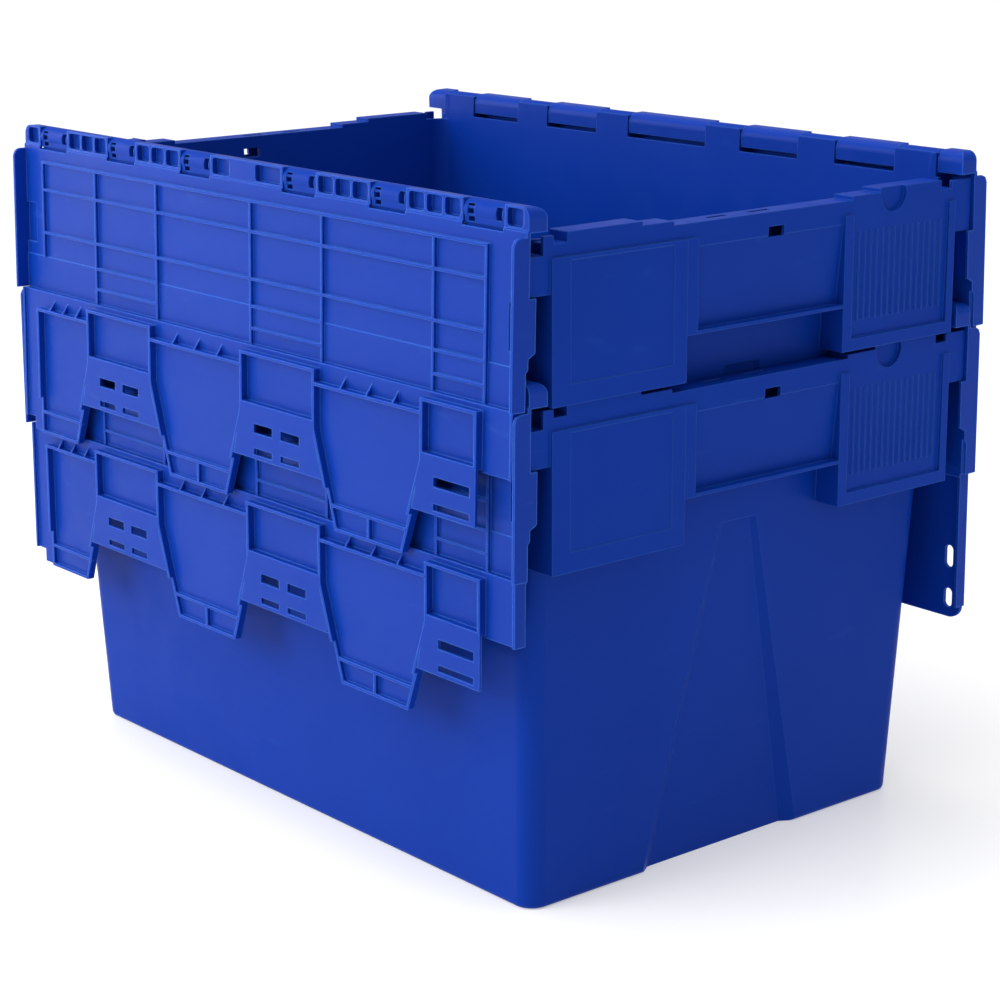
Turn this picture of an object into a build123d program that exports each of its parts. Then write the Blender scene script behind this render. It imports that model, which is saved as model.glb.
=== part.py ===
from build123d import *
import os

# Two identical attached-lid containers, one nested in the other, with all four lid halves hanging open.
# Millimetres, +Z up. The origin is the middle of the lower tub's base. X runs along the 600 mm side,
# and the front lids hang on the -Y side. A container is the same after half a turn about Z.

# ---- tub ----
BASE_LENGTH = 532.0           # outside of the tub at the floor
BASE_WIDTH = 358.0
RIM_LENGTH = 565.0            # outside of the tub wall at the rim
RIM_WIDTH = 387.2
CORNER_RADIUS = 14.0
WALL = 2.6
FLOOR = 3.2
BASE_ROUND = 2.4              # rounding of the lower edge
RIM_LOW = 346.2               # middle of an end rim
RIM_STEP = 2.7                # each of its two steps up
MID_RIM_Y = 83.5              # where the steps stand
HIGH_RIM_Y = 111.0
HIGH_RIM_END = 174.0
CORNER_DROP = 1.2             # the rim's corners lie this far below its middle
SKIRT_Y = 188.0
SKIRT_BOTTOM = 242.6          # lower edge of the end boxes, which rests on the rim of the crate below
BOX_TOP = 336.5
BOX_PROUD = 1.9               # the end boxes stand out from the rim band
LABEL_BOX_END = -72.5
LABEL_FIELD = (-172.5, -84.3, 256.0, 334.0)     # ends along the rim, foot and head
LABEL_FIELD_DEPTH = 0.5
RIB_BOX_START = 75.0
RIB_BOX_FRAME = 8.5
RIB_COUNT = 15
HAND_PANEL_BOTTOM = 273.3
HAND_PANEL_LEAN = 5.8         # the panel leans in by this from its head to its foot
HAND_PANEL_LIP = 2.3
HAND_PANEL_STRIP = 11.0
NOTCH_Y = 125.0
NOTCH_RADIUS = 13.0
NOTCH_DEPTH = 3.2
SIGHT_HOLE = (2.5, 17.5, 329.5)       # ends along the rim, and foot
RIM_SLOTS = ((-45.0, -27.0), (-7.0, 13.0))
RECESS_TOP = 243.0            # sloping recess low in each end wall
RECESS_DEPTH = 6.9
RECESS_HEAD_DEPTH = 3.0
RECESS_FOOT = 76.0
RECESS_HEAD = 17.0
RECESS_SIDE_SLOPE = 1.6
LEDGE_Z = 336.0               # ledge outside each long wall, under the hinge
LEDGE_Y = 205.5
BRACKET_BOTTOM = 314.0
BRACKET_TOP = 350.5
WINDOW_Z = 350.5              # long wall height where a lid knuckle passes

# ---- hinge ----
HINGE_Y = 200.0
HINGE_Z = 362.0
KNUCKLE = 7.5                 # half thickness of a knuckle
KNUCKLE_WALL = 2.2
END_CHEEK = 5.0
CORNER_ROUND = 7.0
ROD_RADIUS = 1.6
ROD_LENGTH = 588.0
ROD_CHAMFER = 0.4
TAB_HEIGHT = 5.5              # tub wall above the axis at a tab
STATIONS = (43.5, 82.0, 141.5, 180.0, 237.0, 277.3)   # ends of the knuckles, mirrored about the middle
MIDDLE_POCKETS = ((-41.3, -20.0), (11.0, 41.3))

# ---- lid; drops run down from the hinge axis, depths run out from it ----
LID_LENGTH = 600.0
SKIN = 2.5
SKIN_DEPTH = 6.0              # hinge axis to the top skin
RIB_HEIGHT = 2.5
RIB_WIDTH = 2.0
FIELD_STEP = 0.5
TRAY_STEP = 5.0               # the tray half of the lid is stepped down
LID_DEPTH = 13.0              # top skin to the tips of the walls
LID_WALL = 2.2
BAND_START = 9.5
END_WALL_START = 10.5
GRID_LINES = (19.0, 40.0, 73.0)
SHORT_LINES = (92.0, 107.5)
STEP_START = 118.5
SQUARE_TOP = 124.5
TRAY_LEDGE = 133.5
PLATE_TOP = 160.0
END_PANEL_END = 162.0
TAPER_START = 163.5
PLATE_END = 197.0
TIP_BAR = 213.5
FINGER_END = 230.5
FINGER_PITCH = 203.0
TRAY_WIDTH = 119.5
TIP_WIDTH = 73.2
HALF_FINGER_EDGE = -270.0
LAST_SQUARE_EDGE = 266.2
GUSSET_PITCH = 28.4
GUSSET_WIDTH = 1.2
TAB_START = 48.5              # locating tab on the back of an end wall
TAB_END = 82.5
TAB_PROUD = 5.5
TAB_SLOT_WIDTH = 13.8
TAB_SLOT_FLOOR = 0.9
LOW_WALL_TIP = 15.5           # depth of the end walls beside the trays
PLATE_SLOTS = ((172.0, 178.5), (189.5, 194.0))
LOW_WALL_END = 220.5
TAIL_CORNER_X = -285.5        # the tail beside the half finger is rounded, or on a front lid stepped, out here
SEAL_SLOTS = ((175.5, 192.5), (208.5, 223.0))     # in the tail of a back lid
SEAL_SLOT_X = -285.0
SEAL_SLOT_WIDTH = 7.5
TILT_LOWER = 0.7              # degrees that a hanging lid leans outward
TILT_UPPER = 1.5

# ---- clearances ----
ROD_CLEARANCE = 0.05
KNUCKLE_GAP = 0.6             # between a lid knuckle and a crate tab
FINGER_CLEARANCE = 0.3        # finger tips over the plates of the other lid
RIM_CLEARANCE = 0.5           # end wall of a lid outside the rim band, and its edge inside the tub wall
NEST_SIDE_CLEARANCE = 1.0     # low end wall of a lid between the end walls of the lid behind it
ROOT = 0.1                    # overlap of a rib with the wall that it grows from

# ---- derived ----
RIM_MID = RIM_LOW + RIM_STEP
RIM_HIGH = RIM_MID + RIM_STEP
NEST_PITCH = RIM_HIGH - SKIRT_BOTTOM
LID_END = LID_LENGTH / 2
INNER_END = LID_END - LID_WALL
LOW_END = INNER_END - NEST_SIDE_CLEARANCE
BAND_X = INNER_END - RIM_CLEARANCE
SKIRT_X = BAND_X + BOX_PROUD
RIM_X = RIM_LENGTH / 2
RIM_Y = RIM_WIDTH / 2
TAB_INNER_Y = HINGE_Y - BAND_START + RIM_CLEARANCE
TAB_OUTER_Y = HINGE_Y + KNUCKLE - 1.0
TAB_LOW_Z = HINGE_Z - KNUCKLE
SKIN_OUT = SKIN_DEPTH + SKIN
TRAY_IN = SKIN_DEPTH + TRAY_STEP
TRAY_OUT = TRAY_IN + SKIN
TIP_OUT = SKIN_DEPTH + LID_DEPTH
PLATE_IN = TIP_OUT - LID_WALL
FINGER_OUT = PLATE_IN - FINGER_CLEARANCE
PLATE_ZONE = 2 * HINGE_Y - PLATE_END - 1.0      # from here on a finger lies over the other lid's plates
TRAY_HALF = TRAY_WIDTH / 2
TAPER = (TRAY_WIDTH - TIP_WIDTH) / 2 / (FINGER_END - TAPER_START)
FINGERS = (-FINGER_PITCH / 4, 3 * FINGER_PITCH / 4)
HALF_FINGER_RIGHT = FINGERS[0] - FINGER_PITCH + TRAY_HALF
SQUARES = ((HALF_FINGER_RIGHT, FINGERS[0] - TRAY_HALF),
           (FINGERS[0] + TRAY_HALF, FINGERS[1] - TRAY_HALF),
           (FINGERS[1] + TRAY_HALF, LAST_SQUARE_EDGE))
GRID_RIGHT = LAST_SQUARE_EDGE - LID_WALL
KNUCKLES = ([(-STATIONS[0], STATIONS[0])]
            + [(near, far) for near, far in zip(STATIONS[1::2], STATIONS[2::2] + (LID_END,))]
            + [(-far, -near) for near, far in zip(STATIONS[1::2], STATIONS[2::2] + (LID_END,))])
TABS = ([(near + KNUCKLE_GAP, far - KNUCKLE_GAP) for near, far in zip(STATIONS[0::2], STATIONS[1::2])]
        + [(-far + KNUCKLE_GAP, -near - KNUCKLE_GAP) for near, far in zip(STATIONS[0::2], STATIONS[1::2])])


def area(x0, x1, y0, y1, mode=Mode.ADD):
    """Rectangle between two corners in the sketch being drawn."""
    with Locations(((x0 + x1) / 2, (y0 + y1) / 2)):
        Rectangle(abs(x1 - x0), abs(y1 - y0), mode=mode)


def both_ends(x0, x1, y0, y1):
    """The same rectangle at both ends of the tub, half a turn apart."""
    for turn in (1, -1):
        area(turn * x0, turn * x1, turn * y0, turn * y1)


def both_sides(x0, x1, y0, y1):
    """The same rectangle along both long sides of the tub, given for the back, half a turn apart."""
    for turn in (1, -1):
        area(-turn * x0, -turn * x1, turn * y0, turn * y1)


def wall_at(z, inset=0.0):
    """Half length of the tub's outside at a height."""
    return (BASE_LENGTH + (RIM_LENGTH - BASE_LENGTH) * z / RIM_LOW) / 2 - inset


# ---- tub -------------------------------------------------------------------------------------
# Each end wall has a sloping recess, which is a bump of the same shape inside the tub.
recess_shapes = []
for inset in (0.0, WALL):
    with BuildPart() as recess:
        for turn in (1, -1):
            for z, half, depth in ((0.0, RECESS_FOOT, RECESS_DEPTH),
                                   (RECESS_TOP + inset, RECESS_HEAD, RECESS_HEAD_DEPTH)):
                outer = wall_at(z, inset) + 30.0
                inner = wall_at(z, inset) - depth
                wide = half + inset + 30.0 * RECESS_SIDE_SLOPE
                narrow = half + inset - depth * RECESS_SIDE_SLOPE
                with BuildSketch(Plane.XY.offset(z)):
                    with BuildLine():
                        Polyline((turn * outer, wide), (turn * inner, narrow), (turn * inner, -narrow),
                                 (turn * outer, -wide), close=True)
                    make_face()
            loft(ruled=True)
    recess_shapes.append(recess.part)

with BuildPart() as cavity:
    for z in (FLOOR, RIM_HIGH + 30.0):
        share = z / RIM_LOW
        with BuildSketch(Plane.XY.offset(z)):
            RectangleRounded(BASE_LENGTH + (RIM_LENGTH - BASE_LENGTH) * share - 2 * WALL,
                             BASE_WIDTH + (RIM_WIDTH - BASE_WIDTH) * share - 2 * WALL,
                             CORNER_RADIUS - WALL)
    loft(ruled=True)
    add(recess_shapes[1], mode=Mode.SUBTRACT)

with BuildPart() as tub:
    for z, inset in (
        (0.0, BASE_ROUND), (0.3 * BASE_ROUND, 0.3 * BASE_ROUND), (BASE_ROUND, 0.0), (RIM_LOW, 0.0)
    ):
        width_here = BASE_WIDTH + (RIM_WIDTH - BASE_WIDTH) * z / RIM_LOW
        with BuildSketch(Plane.XY.offset(z)):
            RectangleRounded(2 * wall_at(z, inset), width_here - 2 * inset, CORNER_RADIUS - inset)
    loft(ruled=True)
    add(recess_shapes[0], mode=Mode.SUBTRACT)

    # end rims: a flange in three levels
    with BuildSketch(Plane.XY.offset(RIM_LOW - WALL)):
        both_ends(RIM_X - WALL, BAND_X, -HIGH_RIM_END, HIGH_RIM_END)
    extrude(amount=WALL)
    with BuildSketch(Plane.XY.offset(RIM_LOW - WALL)):
        both_ends(RIM_X - 1.0, BAND_X, -SKIRT_Y, SKIRT_Y)
    extrude(amount=WALL - CORNER_DROP)
    with BuildSketch(Plane.XY.offset(RIM_LOW - WALL / 2)):
        both_ends(RIM_X - WALL, BAND_X, MID_RIM_Y, HIGH_RIM_END)
        both_ends(RIM_X - WALL, BAND_X, -HIGH_RIM_END, -MID_RIM_Y)
    extrude(amount=WALL / 2 + RIM_STEP)
    with BuildSketch(Plane.XY.offset(RIM_LOW)):
        both_ends(RIM_X - WALL, BAND_X, HIGH_RIM_Y, HIGH_RIM_END)
        both_ends(RIM_X - WALL, BAND_X, -HIGH_RIM_END, -HIGH_RIM_Y)
    extrude(amount=2 * RIM_STEP)
    with BuildSketch(Plane.XY.offset(BOX_TOP - 6.0)):
        both_ends(BAND_X - WALL, BAND_X, -SKIRT_Y, SKIRT_Y)
        both_ends(BAND_X - NOTCH_DEPTH - WALL, BAND_X, NOTCH_Y - NOTCH_RADIUS - WALL,
                  NOTCH_Y + NOTCH_RADIUS + WALL)
    extrude(amount=RIM_LOW - CORNER_DROP - BOX_TOP + 6.0)

    # end boxes: panels, with webs back to the tub wall that are open below
    with BuildSketch(Plane.XY.offset(SKIRT_BOTTOM)):
        for y0, y1 in ((-SKIRT_Y, LABEL_BOX_END), (RIB_BOX_START, SKIRT_Y)):
            both_ends(SKIRT_X - 3.6, SKIRT_X, y0, y1)
            for y in (y0, (y0 + y1 - WALL) / 2, y1 - WALL):
                both_ends(RIM_X - 9.0, SKIRT_X - 1.0, y, y + WALL)
    extrude(amount=BOX_TOP - SKIRT_BOTTOM)
    with BuildSketch(Plane.XY.offset(BOX_TOP - 1.0)):
        for y0, y1 in ((-SKIRT_Y, LABEL_BOX_END), (RIB_BOX_START, SKIRT_Y)):
            for y in (y0, (y0 + y1 - WALL) / 2, y1 - WALL):
                both_ends(RIM_X - 2.0, BAND_X - 1.0, y, y + WALL)
    extrude(amount=RIM_LOW - WALL / 2 - BOX_TOP)
    with BuildSketch(Plane.XY.offset(LABEL_FIELD[2])):
        both_ends(SKIRT_X - LABEL_FIELD_DEPTH, SKIRT_X + 1.0, LABEL_FIELD[0], LABEL_FIELD[1])
    extrude(amount=LABEL_FIELD[3] - LABEL_FIELD[2], mode=Mode.SUBTRACT)

    # leaning hand-hold panel with a lip along its foot, between the boxes
    panel_foot = BAND_X - HAND_PANEL_LEAN
    for turn in (1, -1):
        with BuildSketch(Plane.XZ.offset(turn * (-RIB_BOX_START - 1.0))):
            with BuildLine():
                Polyline((turn * (panel_foot - WALL), HAND_PANEL_BOTTOM),
                         (turn * (SKIRT_X - 0.4), HAND_PANEL_BOTTOM),
                         (turn * (SKIRT_X - 0.4), HAND_PANEL_BOTTOM + HAND_PANEL_LIP),
                         (turn * panel_foot, HAND_PANEL_BOTTOM + HAND_PANEL_LIP),
                         (turn * BAND_X, BOX_TOP), (turn * (BAND_X - WALL), BOX_TOP), close=True)
            make_face()
        extrude(amount=turn * (RIB_BOX_START - LABEL_BOX_END + 2.0))
    with BuildSketch(Plane.XY.offset(HAND_PANEL_BOTTOM)):
        both_ends(panel_foot, SKIRT_X - 0.4, LABEL_BOX_END - 1.0, LABEL_BOX_END - 1.0 + HAND_PANEL_STRIP)
    extrude(amount=BOX_TOP - HAND_PANEL_BOTTOM)

    # field of fine ribs in a raised frame, sunk deeper towards its foot
    field_foot = SKIRT_BOTTOM + RIB_BOX_FRAME
    field_start = RIB_BOX_START + RIB_BOX_FRAME
    field_end = SKIRT_Y - RIB_BOX_FRAME + 2.0
    for turn in (1, -1):
        with BuildSketch(Plane.XZ.offset(-turn * field_end)):
            with BuildLine():
                Polyline((turn * (SKIRT_X - 2.6), field_foot), (turn * (SKIRT_X + 2.0), field_foot),
                         (turn * (SKIRT_X + 2.0), BOX_TOP + 1.0), (turn * BAND_X, BOX_TOP + 1.0), close=True)
            make_face()
        extrude(amount=turn * (field_end - field_start), mode=Mode.SUBTRACT)
    rib_spacing = (field_end - field_start - 14.0) / (RIB_COUNT - 1)
    with BuildSketch(Plane.XY.offset(field_foot + 12.0)):
        for number in range(RIB_COUNT):
            rib_y = field_start + 7.0 + number * rib_spacing
            both_ends(SKIRT_X - 2.9, SKIRT_X - 1.5, rib_y - 0.9, rib_y + 0.9)
    extrude(amount=BOX_TOP - field_foot - 24.0)

    # upper long walls, ledges, corner brackets and the rails that the hinge tabs are cut from
    with BuildSketch(Plane.XY.offset(RIM_LOW - WALL)):
        both_sides(-RIM_X + 3.0, RIM_X - 3.0, TAB_INNER_Y, RIM_Y)
    extrude(amount=WINDOW_Z - RIM_LOW + WALL)
    with BuildSketch(Plane.XY.offset(LEDGE_Z)):
        both_sides(-BAND_X, BAND_X, TAB_INNER_Y + 1.0, LEDGE_Y)
    extrude(amount=WALL)
    with BuildSketch(Plane.XY.offset(BRACKET_BOTTOM)):
        both_sides(BAND_X - WALL, BAND_X, SKIRT_Y - WALL, LEDGE_Y)
        both_sides(-BAND_X, -BAND_X + WALL, SKIRT_Y - WALL, LEDGE_Y)
    extrude(amount=BRACKET_TOP - BRACKET_BOTTOM)
    rail_end = STATIONS[-1] - KNUCKLE_GAP
    for turn in (1, -1):
        with BuildSketch(Plane.YZ.offset(-rail_end)):
            area(turn * TAB_INNER_Y, turn * LEDGE_Y, LEDGE_Z + 1.0, TAB_LOW_Z)
            area(turn * TAB_INNER_Y, turn * HINGE_Y, TAB_LOW_Z, HINGE_Z + TAB_HEIGHT)
            area(turn * TAB_INNER_Y, turn * TAB_OUTER_Y, TAB_LOW_Z, HINGE_Z)
            with Locations((turn * HINGE_Y, HINGE_Z)):
                Circle(KNUCKLE)
        extrude(amount=2 * rail_end)
    with BuildSketch(Plane.XY.offset(WINDOW_Z)):
        for near, far in KNUCKLES:
            both_sides(near - KNUCKLE_GAP, far + KNUCKLE_GAP, TAB_INNER_Y - 5.0, HINGE_Y + 15.0)
    extrude(amount=40.0, mode=Mode.SUBTRACT)
    with BuildSketch(Plane.XY.offset(LEDGE_Z + WALL)):
        for near, far in KNUCKLES[:5]:
            both_sides(near - KNUCKLE_GAP, far + KNUCKLE_GAP, RIM_Y, HINGE_Y + 15.0)
    extrude(amount=15.0, mode=Mode.SUBTRACT)

    # recess with two short ribs, and pocket, in the outer face of each tab
    for turn in (1, -1):
        outer_face = Plane(origin=(0, turn * TAB_OUTER_Y, 0), x_dir=(-turn, 0, 0), z_dir=(0, turn, 0))
        with BuildSketch(outer_face.offset(-3.8)):
            for near, far in TABS:
                area(near + 3.5, near + 10.0, HINGE_Z - 6.5, HINGE_Z + 4.5)
                area(far - 8.0, far - 2.2, HINGE_Z - 3.5, HINGE_Z + 4.5)
        extrude(amount=8.0, mode=Mode.SUBTRACT)
        with BuildSketch(outer_face.offset(-4.2)):
            for near, far in TABS:
                area(near + 3.0, near + 10.5, HINGE_Z - 3.4, HINGE_Z - 1.8)
                area(near + 3.0, near + 10.5, HINGE_Z + 1.4, HINGE_Z + 3.0)
        extrude(amount=4.2)

    # rod bores, inside, notches above the ribs, sight holes and rim slots
    with BuildSketch(Plane.YZ):
        with Locations((HINGE_Y, HINGE_Z), (-HINGE_Y, HINGE_Z)):
            Circle(ROD_RADIUS + ROD_CLEARANCE)
    extrude(amount=LID_END, both=True, mode=Mode.SUBTRACT)
    add(cavity.part, mode=Mode.SUBTRACT)
    for turn in (1, -1):
        with BuildSketch(Plane.YZ.offset(turn * (BAND_X - NOTCH_DEPTH))):
            with Locations((turn * NOTCH_Y, RIM_HIGH - 4.0)):
                Circle(NOTCH_RADIUS)
        extrude(amount=turn * 8.0, mode=Mode.SUBTRACT)
        with BuildSketch(Plane.YZ.offset(turn * (RIM_X - 8.0))):
            area(turn * SIGHT_HOLE[0], turn * SIGHT_HOLE[1], SIGHT_HOLE[2], BOX_TOP)
        extrude(amount=turn * 25.0, mode=Mode.SUBTRACT)
    with BuildSketch(Plane.XY.offset(RIM_LOW - 2 * WALL)):
        for y0, y1 in RIM_SLOTS:
            both_ends(RIM_X + 2.5, RIM_X + 6.5, y0, y1)
    extrude(amount=3 * WALL, mode=Mode.SUBTRACT)


# ---- lid, drawn flat: X along it, -Y away from the hinge axis, Z out of its underside --------
def finger_sketch(start, inset=0.0):
    """The three fingers, from a distance from the hinge to their tips, in the sketch being drawn."""
    for centre in FINGERS + (None,):
        shoulder = max(start, TAPER_START)
        right = HALF_FINGER_RIGHT if centre is None else centre + TRAY_HALF
        tip = right - (FINGER_END - TAPER_START) * TAPER
        corners = [(right, -start - inset), (right, -shoulder), (tip, -FINGER_END)]
        if centre is None:
            corners += [(HALF_FINGER_EDGE, -FINGER_END), (HALF_FINGER_EDGE, -start - inset)]
        else:
            corners += [(2 * centre - x, y) for x, y in reversed(corners)]
        with BuildSketch(mode=Mode.PRIVATE) as shape:
            with BuildLine():
                Polyline(*corners, close=True)
            make_face()
        yield shape.sketch_local


def add_fingers(start, wall=0.0):
    """Fingers in the sketch being drawn: whole, or only a wall around their edge."""
    for shape in finger_sketch(start):
        add(shape)
        if wall:
            with BuildSketch(mode=Mode.PRIVATE) as inside:
                add(shape)
                offset(amount=-wall, kind=Kind.INTERSECTION, mode=Mode.REPLACE)
            add(inside.sketch_local, mode=Mode.SUBTRACT)


def add_wall_plan():
    """Plan of the tall walls: around the fingers and around the squares."""
    add_fingers(TRAY_LEDGE - LID_WALL, LID_WALL)
    for left, right in SQUARES:
        area(left - LID_WALL, right, -SQUARE_TOP, -SQUARE_TOP + LID_WALL)
        area(left - 0.5, right, -PLATE_TOP, -PLATE_TOP + LID_WALL)
        area(left - LID_WALL, left, -TRAY_LEDGE, -SQUARE_TOP)
        if right < LAST_SQUARE_EDGE:
            area(right, right + LID_WALL, -TRAY_LEDGE, -SQUARE_TOP + LID_WALL)
    area(GRID_RIGHT, LAST_SQUARE_EDGE, -PLATE_TOP, -SQUARE_TOP)


with BuildPart() as gusset:
    with BuildSketch(Plane.YZ.offset(-GUSSET_WIDTH / 2)):
        with BuildLine():
            Polyline((-STEP_START - 5.0, TRAY_OUT - ROOT), (-TRAY_LEDGE + LID_WALL - ROOT, TIP_OUT),
                     (-TRAY_LEDGE + LID_WALL - ROOT, TRAY_OUT - ROOT), close=True)
        make_face()
    extrude(amount=GUSSET_WIDTH)

with BuildPart() as lid:
    # top skin, the step down to the tray half, and the tray skin with its end panel and tail
    with BuildSketch(Plane.XY.offset(SKIN_DEPTH)):
        area(-INNER_END - ROOT, INNER_END + ROOT, -STEP_START, -BAND_START)
    extrude(amount=SKIN)
    with BuildSketch(Plane.XY.offset(SKIN_DEPTH + TAB_SLOT_FLOOR)):
        for turn in (1, -1):
            area(turn * INNER_END, turn * (INNER_END - TAB_SLOT_WIDTH), -TAB_END, -TAB_START - 3.5)
    extrude(amount=SKIN, mode=Mode.SUBTRACT)
    with BuildSketch(Plane.XY.offset(SKIN_DEPTH)):
        area(-LOW_END, LOW_END, -STEP_START - SKIN, -STEP_START)
    extrude(amount=TRAY_OUT - SKIN_DEPTH)
    with BuildSketch(Plane.XY.offset(TRAY_IN)):
        add_fingers(STEP_START)
        for left, right in SQUARES:
            area(left - 1.0, right, -PLATE_TOP, -STEP_START)
        area(LAST_SQUARE_EDGE - 1.0, LOW_END, -END_PANEL_END, -STEP_START)
        area(-LOW_END, HALF_FINGER_EDGE + 1.0, -FINGER_END, -STEP_START)
        area(-LOW_END, TAIL_CORNER_X, -FINGER_END, -LOW_WALL_END, Mode.SUBTRACT)
        with Locations((TAIL_CORNER_X, -LOW_WALL_END)):
            Ellipse(TAIL_CORNER_X + LOW_END, FINGER_END - LOW_WALL_END)
    extrude(amount=SKIN)

    # shallow rib grid, and the slightly thicker field below it
    with BuildSketch(Plane.XY.offset(SKIN_OUT - ROOT)):
        area(-INNER_END, INNER_END, -STEP_START, -SHORT_LINES[0])
    extrude(amount=ROOT + FIELD_STEP)
    with BuildSketch(Plane.XY.offset(SKIN_OUT - ROOT)):
        for line in GRID_LINES:
            area(HALF_FINGER_EDGE, GRID_RIGHT, -line - RIB_WIDTH / 2, -line + RIB_WIDTH / 2)
        for left, right in SQUARES:
            for line in SHORT_LINES:
                area(left, min(right, GRID_RIGHT), -line - RIB_WIDTH / 2, -line + RIB_WIDTH / 2)
            for x in (left, min(right, GRID_RIGHT)):
                area(x - RIB_WIDTH / 2, x + RIB_WIDTH / 2, -STEP_START, -GRID_LINES[0] + RIB_WIDTH / 2)
        area(HALF_FINGER_EDGE - RIB_WIDTH / 2, HALF_FINGER_EDGE + RIB_WIDTH / 2, -SHORT_LINES[0],
             -GRID_LINES[0] + RIB_WIDTH / 2)
    extrude(amount=ROOT + RIB_HEIGHT)

    # tall walls; past the plates of the other lid they are lower, and end in a barred tip
    with BuildSketch(Plane.XY.offset(TRAY_OUT - ROOT)):
        add_wall_plan()
        for centre in FINGERS:
            area(centre - TIP_WIDTH / 2 - 5.0, centre + TIP_WIDTH / 2 + 5.0, -TIP_BAR - LID_WALL / 2,
                 -TIP_BAR + LID_WALL / 2)
        area(HALF_FINGER_EDGE, HALF_FINGER_RIGHT - (TIP_BAR - TAPER_START) * TAPER, -TIP_BAR - LID_WALL / 2,
             -TIP_BAR + LID_WALL / 2)
        for x in FINGERS:
            area(x - LID_WALL / 2, x + LID_WALL / 2, -FINGER_END + 1.0, -TIP_BAR)
    extrude(amount=FINGER_OUT - TRAY_OUT + ROOT)
    with BuildSketch(Plane.XY.offset(FINGER_OUT)):
        add_wall_plan()
        area(-LID_END, LID_END, -FINGER_END - 5.0, -PLATE_ZONE, Mode.SUBTRACT)
    extrude(amount=TIP_OUT - FINGER_OUT)
    with Locations(*[(x, 0, 0) for centre in FINGERS for x in (centre - GUSSET_PITCH, centre, centre + GUSSET_PITCH)],
                   *[(HALF_FINGER_EDGE + number * (HALF_FINGER_RIGHT - HALF_FINGER_EDGE) / 4, 0, 0)
                     for number in (1, 2, 3)]):
        add(gusset.part)

    # slotted plates that the other lid's fingers rest on
    with BuildSketch(Plane.XY.offset(PLATE_IN)):
        for left, right in SQUARES:
            grow = (PLATE_END - TAPER_START) * TAPER - 1.0
            low_right = right + grow if right < LAST_SQUARE_EDGE else right
            with BuildLine():
                Polyline((left - 1.0, -PLATE_TOP + 1.0), (right, -PLATE_TOP + 1.0), (right, -TAPER_START),
                         (low_right, -PLATE_END), (left - grow, -PLATE_END), (left - 1.0, -TAPER_START),
                         close=True)
            make_face()
            middle = (left + right) / 2
            columns = ((middle - 27.0, middle - 5.0), (middle + 5.0, middle + 27.0))
            if right == LAST_SQUARE_EDGE:
                columns = ((middle - 15.0, middle + 21.5),)
            for x0, x1 in columns:
                for start, end in PLATE_SLOTS:
                    area(x0, x1, -end, -start, Mode.SUBTRACT)
    extrude(amount=LID_WALL)

    # end walls with their locating tabs, and the lower ones set in from them
    for left in (-LID_END, INNER_END):
        with BuildSketch(Plane.YZ.offset(left)):
            with BuildLine():
                Polyline((-END_WALL_START, SKIN_DEPTH), (-END_WALL_START, TIP_OUT - 5.0),
                         (-END_WALL_START - 1.6, TIP_OUT - 1.6), (-END_WALL_START - 5.0, TIP_OUT),
                         (-STEP_START, TIP_OUT), (-STEP_START, SKIN_DEPTH + 2.0),
                         (-TAB_END - 12.0, SKIN_DEPTH + 2.0), (-TAB_END - 10.0, SKIN_DEPTH),
                         (-TAB_END - 3.0, SKIN_DEPTH), (-TAB_END, SKIN_DEPTH - TAB_PROUD),
                         (-TAB_START, SKIN_DEPTH - TAB_PROUD), (-TAB_START, SKIN_DEPTH), close=True)
            make_face()
        extrude(amount=LID_WALL)
    low_walls = ((-LOW_END, -LOW_END + LID_WALL, LOW_WALL_END), (LOW_END - LID_WALL, LOW_END, END_PANEL_END))
    with BuildSketch(Plane.XY.offset(SKIN_DEPTH + 0.5)):
        for left, right, end in low_walls:
            area(left, right, -end, -STEP_START)
    extrude(amount=LOW_WALL_TIP - SKIN_DEPTH - 0.5)

    # knuckles on the rod: round inside, square outside, with pockets open to the outside
    for left, right in KNUCKLES:
        with BuildSketch(Plane.YZ.offset(left)):
            with BuildLine():
                Line((KNUCKLE, KNUCKLE), (KNUCKLE, 0.0))
                RadiusArc((KNUCKLE, 0.0), (0.0, -KNUCKLE), KNUCKLE)
                Polyline((0.0, -KNUCKLE), (-KNUCKLE - 0.5, -KNUCKLE), (-KNUCKLE - 0.5, SKIN_DEPTH),
                         (-BAND_START - 1.0, SKIN_DEPTH), (-BAND_START - 1.0, SKIN_OUT), (-KNUCKLE, SKIN_OUT),
                         (-KNUCKLE + 1.0, KNUCKLE), (KNUCKLE, KNUCKLE))
            make_face()
        extrude(amount=right - left)
    with BuildSketch(Plane.XY.offset(ROD_RADIUS + 1.4)):
        for left, right in KNUCKLES:
            third = (right - left - KNUCKLE_WALL) / 3
            pockets = [(left + KNUCKLE_WALL + number * third, left + (number + 1) * third) for number in range(3)]
            if left == -STATIONS[0]:
                pockets = MIDDLE_POCKETS
            elif right == LID_END:
                pockets = [(left + KNUCKLE_WALL, right - END_CHEEK)]
            elif left == -LID_END:
                pockets = [(left + END_CHEEK, right - KNUCKLE_WALL)]
            for x0, x1 in pockets:
                with Locations(((x0 + x1) / 2, 0.4)):
                    RectangleRounded(x1 - x0, 11.4, 2.4)
    extrude(amount=SKIN_OUT, mode=Mode.SUBTRACT)
    with BuildSketch(Plane.XY.offset(-TIP_OUT)):
        for turn in (1, -1):
            area(turn * (LID_END - CORNER_ROUND), turn * (LID_END + 1.0), KNUCKLE - CORNER_ROUND, KNUCKLE + 1.0)
        with Locations((LID_END - CORNER_ROUND, KNUCKLE - CORNER_ROUND),
                       (CORNER_ROUND - LID_END, KNUCKLE - CORNER_ROUND)):
            Circle(CORNER_ROUND, mode=Mode.SUBTRACT)
    extrude(amount=2 * TIP_OUT, mode=Mode.SUBTRACT)
    with BuildSketch(Plane.YZ):
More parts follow.
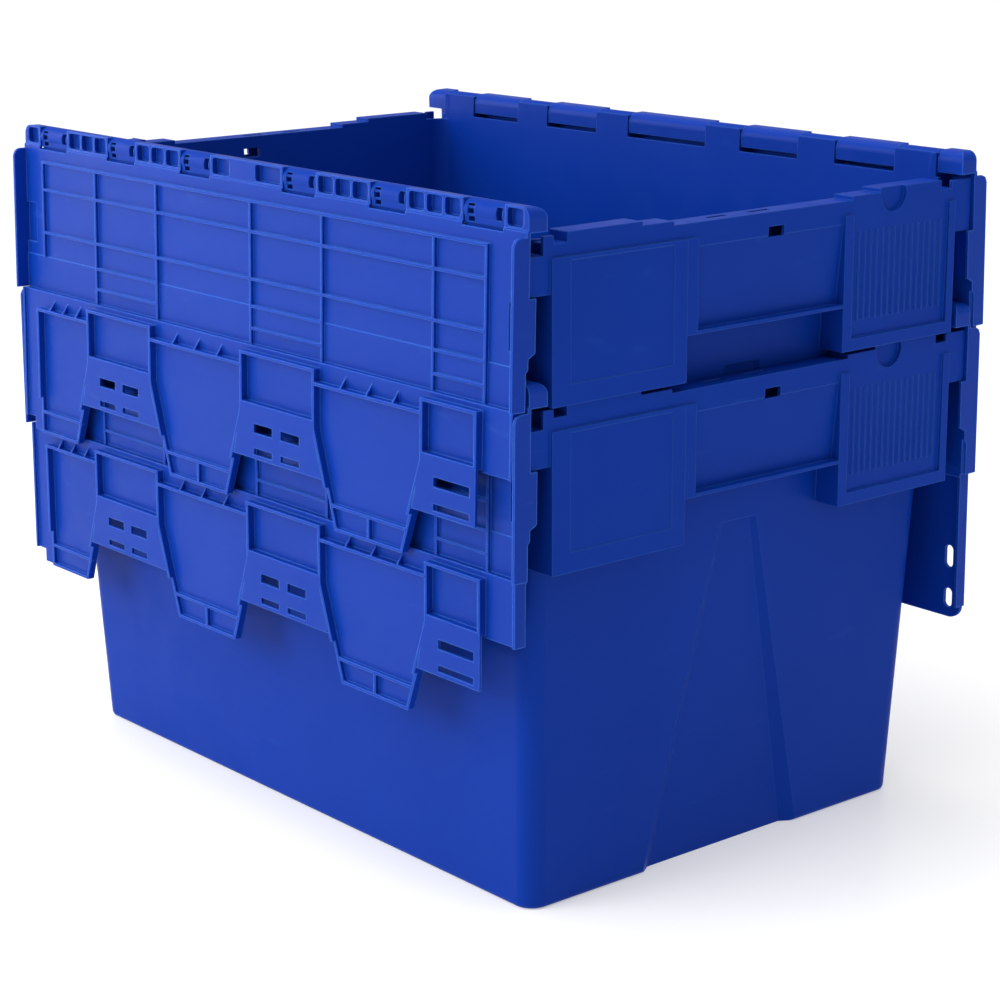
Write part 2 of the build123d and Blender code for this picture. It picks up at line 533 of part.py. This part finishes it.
        Circle(ROD_RADIUS + ROD_CLEARANCE)
    extrude(amount=LID_END - END_CHEEK, both=True, mode=Mode.SUBTRACT)


# ---- rod -------------------------------------------------------------------------------------
with BuildPart() as rod:
    with BuildSketch(Plane.YZ):
        Circle(ROD_RADIUS)
    extrude(amount=ROD_LENGTH / 2, both=True)
    chamfer(rod.edges().filter_by(GeomType.CIRCLE), ROD_CHAMFER)


# ---- both crates -----------------------------------------------------------------------------
os.makedirs("parts", exist_ok=True)
for crate, base, tilt in (("lower", 0.0, TILT_LOWER), ("upper", NEST_PITCH, TILT_UPPER)):
    with BuildPart() as crate_tub:
        with Locations((0, 0, base)):
            add(tub.part)
    crate_tub.part.label = crate + "_tub"
    export_step(crate_tub.part, "parts/" + crate_tub.part.label + ".step")
    for place, side in (("front", 1), ("back", -1)):
        hinge = Vector(0, -side * HINGE_Y, base + HINGE_Z)
        outward = Vector(0, -side, 0).rotate(Axis.X, -side * tilt)
        hung = Plane(origin=hinge, x_dir=(side, 0, 0), z_dir=outward)
        with BuildPart() as hanging_lid:
            with Locations(hung):
                add(lid.part)
            with BuildSketch(hung.offset(TRAY_IN - 1.0)):
                if place == "front":
                    area(-LID_END, TAIL_CORNER_X, -FINGER_END - 1.0, -LOW_WALL_END)
                else:
                    for start, end in SEAL_SLOTS:
                        with Locations((SEAL_SLOT_X, -(start + end) / 2)):
                            RectangleRounded(SEAL_SLOT_WIDTH, end - start, SEAL_SLOT_WIDTH / 2 - 0.1)
            extrude(amount=SKIN + 2.0, mode=Mode.SUBTRACT)
        hanging_lid.part.label = crate + "_" + place + "_lid"
        export_step(hanging_lid.part, "parts/" + hanging_lid.part.label + ".step")
        with BuildPart() as hinge_rod:
            with Locations(hinge):
                add(rod.part)
        hinge_rod.part.label = crate + "_" + place + "_hinge_rod"
        export_step(hinge_rod.part, "parts/" + hinge_rod.part.label + ".step")
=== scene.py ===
import bpy
import math
from mathutils import Matrix, Vector


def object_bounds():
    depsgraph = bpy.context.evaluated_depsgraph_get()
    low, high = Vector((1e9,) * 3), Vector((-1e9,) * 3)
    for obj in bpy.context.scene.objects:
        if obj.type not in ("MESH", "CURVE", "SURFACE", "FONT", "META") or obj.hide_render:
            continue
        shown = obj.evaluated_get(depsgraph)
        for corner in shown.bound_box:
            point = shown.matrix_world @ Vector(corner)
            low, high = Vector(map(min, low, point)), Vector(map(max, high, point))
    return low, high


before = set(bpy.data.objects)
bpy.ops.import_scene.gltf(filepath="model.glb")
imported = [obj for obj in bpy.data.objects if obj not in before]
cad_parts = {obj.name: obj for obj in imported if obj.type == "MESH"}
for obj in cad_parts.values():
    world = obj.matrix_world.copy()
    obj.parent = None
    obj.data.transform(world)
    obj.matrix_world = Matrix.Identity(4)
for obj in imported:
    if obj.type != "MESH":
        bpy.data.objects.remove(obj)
cad_box = [list(corner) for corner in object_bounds()]
scene = bpy.context.scene

SENSOR = 36.0                       # camera, millimetres
LENS = 93.01
CAMERA_PLACE = (1.47737, -1.21761, 0.70544)
AZIMUTH, ELEVATION, ROLL = (math.radians(angle) for angle in (50.05, 14.76, -0.27))

EDGE_RADIUS = 0.0012                # soft edges of the mouldings
EDGE_SAMPLES = 3
HIGHLIGHT_SHARE = 0.85                   # how much of the painted highlight colour an edge takes
GRAIN_DEPTH = 0.00012
WAVE_DEPTH = 0.0012                 # slight unevenness of the moulded walls
GLOW_DEPTH = 0.006                  # how far light spreads inside the lids
GLOW_RADIUS = (0.15, 0.45, 1.0)

FLOOR_SIZE = 60.0
FLOOR_GAP = 0.0002
WHITE = (1.0, 1.0, 1.0, 1.0)
FLOOR_PAINT = (0.66, 0.66, 0.66, 1.0)
FLOOR_GLOW = 0.32
SKY_STRENGTH = 0.44
SUN_STRENGTH = 2.5
SUN_SPREAD = math.radians(70)
SUN_TILT = (math.radians(6), math.radians(-4), 0.0)


# ---- materials -------------------------------------------------------------------------------
def noise(tree, coords, scale, detail, stretch=(1.0, 1.0, 1.0)):
    """A noise pattern in metres, stretched along the axes."""
    mapping = tree.nodes.new("ShaderNodeMapping")
    mapping.inputs["Scale"].default_value = stretch
    tree.links.new(coords.outputs["Object"], mapping.inputs["Vector"])
    texture = tree.nodes.new("ShaderNodeTexNoise")
    texture.inputs["Scale"].default_value = scale
    texture.inputs["Detail"].default_value = detail
    tree.links.new(mapping.outputs["Vector"], texture.inputs["Vector"])
    return texture.outputs["Fac"]


def remap(tree, value, low, high, to_low, to_high):
    """A value's range low to high, carried over to another range and cut off there."""
    node = tree.nodes.new("ShaderNodeMapRange")
    node.inputs["From Min"].default_value = low
    node.inputs["From Max"].default_value = high
    node.inputs["To Min"].default_value = to_low
    node.inputs["To Max"].default_value = to_high
    tree.links.new(value, node.inputs["Value"])
    return node.outputs["Result"]


def mix_colour(tree, share, first, second):
    """The second colour over the first; each may be a tuple or a socket."""
    node = tree.nodes.new("ShaderNodeMix")
    node.data_type = "RGBA"
    tree.links.new(share, node.inputs["Factor"])
    for socket, colour in ((node.inputs[6], first), (node.inputs[7], second)):
        if isinstance(colour, tuple):
            socket.default_value = (*colour, 1.0)
        else:
            tree.links.new(colour, socket)
    return node.outputs[2]


def bump(tree, height, normal, strength, distance):
    """Small relief on top of a normal."""
    node = tree.nodes.new("ShaderNodeBump")
    node.inputs["Strength"].default_value = strength
    node.inputs["Distance"].default_value = distance
    tree.links.new(height, node.inputs["Height"])
    tree.links.new(normal, node.inputs["Normal"])
    return node.outputs["Normal"]


def plastic(name, base, pale, highlight_colour, roughness, specular, grain, glow):
    """Moulded polypropylene: mottled pigment, grain, faint flow lines, rubbed marks, soft edges and a
    painted highlight along the edges.
    """
    material = bpy.data.materials.new(name)
    material.use_nodes = True
    tree = material.node_tree
    shader = tree.nodes["Principled BSDF"]
    coords = tree.nodes.new("ShaderNodeTexCoord")
    mottle = remap(tree, noise(tree, coords, 7.0, 3.0), 0.35, 0.65, 0.0, 0.45)
    flow = remap(tree, noise(tree, coords, 30.0, 2.0, (1.0, 1.0, 0.12)), 0.45, 0.75, 0.0, 0.35)
    scuffs = remap(tree, noise(tree, coords, 90.0, 5.0, (0.25, 0.25, 1.0)), 0.66, 0.80, 0.0, 0.30)
    colour = mix_colour(tree, mottle, base, tuple(0.86 * value for value in base))
    colour = mix_colour(tree, flow, colour, tuple(0.93 * value for value in base))
    colour = mix_colour(tree, scuffs, colour, pale)
    soft = tree.nodes.new("ShaderNodeBevel")
    soft.samples = EDGE_SAMPLES
    soft.inputs["Radius"].default_value = EDGE_RADIUS
    surface = tree.nodes.new("ShaderNodeNewGeometry")
    agree = tree.nodes.new("ShaderNodeVectorMath")
    agree.operation = "DOT_PRODUCT"
    tree.links.new(soft.outputs["Normal"], agree.inputs[0])
    tree.links.new(surface.outputs["Normal"], agree.inputs[1])
    # painted highlight: where the softened normal turns away from the face, the edge takes the pale
    # highlight colour
    painted_highlight_mask = remap(tree, agree.outputs["Value"], 0.995, 0.80, 0.0, HIGHLIGHT_SHARE)
    colour = mix_colour(tree, painted_highlight_mask, colour, highlight_colour)
    tree.links.new(colour, shader.inputs["Base Color"])
    rough = remap(tree, noise(tree, coords, 45.0, 4.0), 0.3, 0.7, roughness - 0.05, roughness + 0.07)
    tree.links.new(rough, shader.inputs["Roughness"])
    shader.inputs["Specular IOR Level"].default_value = specular
    shader.inputs["Subsurface Weight"].default_value = glow
    shader.inputs["Subsurface Radius"].default_value = GLOW_RADIUS
    shader.inputs["Subsurface Scale"].default_value = GLOW_DEPTH
    normal = bump(tree, noise(tree, coords, 1500.0, 2.0), soft.outputs["Normal"], grain, GRAIN_DEPTH)
    normal = bump(tree, noise(tree, coords, 9.0, 1.5), normal, 0.35, WAVE_DEPTH)
    tree.links.new(normal, shader.inputs["Normal"])
    return material


def wire():
    """Drawn steel wire with fine lines along it."""
    material = bpy.data.materials.new("drawn_steel")
    material.use_nodes = True
    tree = material.node_tree
    shader = tree.nodes["Principled BSDF"]
    coords = tree.nodes.new("ShaderNodeTexCoord")
    lines = noise(tree, coords, 900.0, 3.0, (0.03, 1.0, 1.0))
    colour = mix_colour(tree, remap(tree, lines, 0.3, 0.7, 0.0, 1.0), (0.50, 0.51, 0.52), (0.66, 0.67, 0.69))
    tree.links.new(colour, shader.inputs["Base Color"])
    tree.links.new(remap(tree, lines, 0.3, 0.7, 0.26, 0.42), shader.inputs["Roughness"])
    shader.inputs["Metallic"].default_value = 1.0
    return material


# the edge colours below are painted highlights on the mouldings' edges
TUB = plastic(
    "tub_plastic", base=(0.0018, 0.0320, 0.300), pale=(0.014, 0.070, 0.38), highlight_colour=(0.030, 0.120, 0.520),
    roughness=0.40, specular=0.05, grain=0.35, glow=0.0
)
LID = plastic(
    "lid_plastic", base=(0.0018, 0.0340, 0.315), pale=(0.026, 0.100, 0.46), highlight_colour=(0.060, 0.200, 0.780),
    roughness=0.38, specular=0.09, grain=0.30, glow=0.3
)
STEEL = wire()


# ---- CAD nodes -------------------------------------------------------------------------------
for name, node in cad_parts.items():
    finish = TUB
    if name.endswith("lid"):
        finish = LID
    elif name.endswith("rod"):
        finish = STEEL
    node.data.materials.clear()
    node.data.materials.append(finish)


# ---- studio ----------------------------------------------------------------------------------
bpy.ops.mesh.primitive_plane_add(size=FLOOR_SIZE, location=(0.0, 0.0, cad_box[0][2] - FLOOR_GAP))
floor = bpy.context.object
floor.name = "studio_floor"
white = bpy.data.materials.new("studio_white")
white.use_nodes = True
paint = white.node_tree.nodes["Principled BSDF"]
paint.inputs["Base Color"].default_value = FLOOR_PAINT
paint.inputs["Roughness"].default_value = 0.30
paint.inputs["Specular IOR Level"].default_value = 0.25
paint.inputs["Emission Color"].default_value = WHITE
paint.inputs["Emission Strength"].default_value = FLOOR_GLOW
floor.data.materials.append(white)

world = bpy.data.worlds.new("studio")
scene.world = world
world.use_nodes = True
sky = world.node_tree.nodes["Background"]
sky.inputs["Color"].default_value = WHITE
sky.inputs["Strength"].default_value = SKY_STRENGTH


def softbox(name, place, aim, size, power):
    """A rectangular lamp turned towards a point."""
    data = bpy.data.lights.new(name, "AREA")
    data.shape = "RECTANGLE"
    data.size, data.size_y = size
    data.energy = power
    light = bpy.data.objects.new(name, data)
    light.location = place
    light.rotation_euler = (Vector(aim) - Vector(place)).to_track_quat("-Z", "Y").to_euler()
    scene.collection.objects.link(light)


softbox("key", (-0.9, -2.6, 1.5), (0.0, 0.0, 0.2), (2.0, 1.6), 62.0)
softbox("left", (-2.4, -0.9, 0.9), (0.0, 0.0, 0.3), (1.4, 1.4), 22.0)
softbox("side", (2.8, 0.8, 1.4), (0.0, 0.0, 0.2), (1.6, 1.6), 5.0)
overhead = bpy.data.lights.new("overhead", "SUN")
overhead.energy = SUN_STRENGTH
overhead.angle = SUN_SPREAD
sun = bpy.data.objects.new("overhead", overhead)
sun.rotation_euler = SUN_TILT
scene.collection.objects.link(sun)

# ---- camera ----------------------------------------------------------------------------------
right = Vector((math.cos(AZIMUTH), math.sin(AZIMUTH), 0.0))
back = Vector((math.sin(AZIMUTH) * math.cos(ELEVATION), -math.cos(AZIMUTH) * math.cos(ELEVATION),
               math.sin(ELEVATION)))
up = back.cross(right)
across = right * math.cos(ROLL) + up * math.sin(ROLL)
upward = up * math.cos(ROLL) - right * math.sin(ROLL)
turn = Matrix((across, upward, back)).transposed().to_4x4()
camera_data = bpy.data.cameras.new("camera")
camera_data.sensor_width = SENSOR
camera_data.lens = LENS
camera = bpy.data.objects.new("camera", camera_data)
camera.matrix_world = Matrix.Translation(CAMERA_PLACE) @ turn
scene.collection.objects.link(camera)
scene.camera = camera
scene.view_settings.view_transform = "Standard"
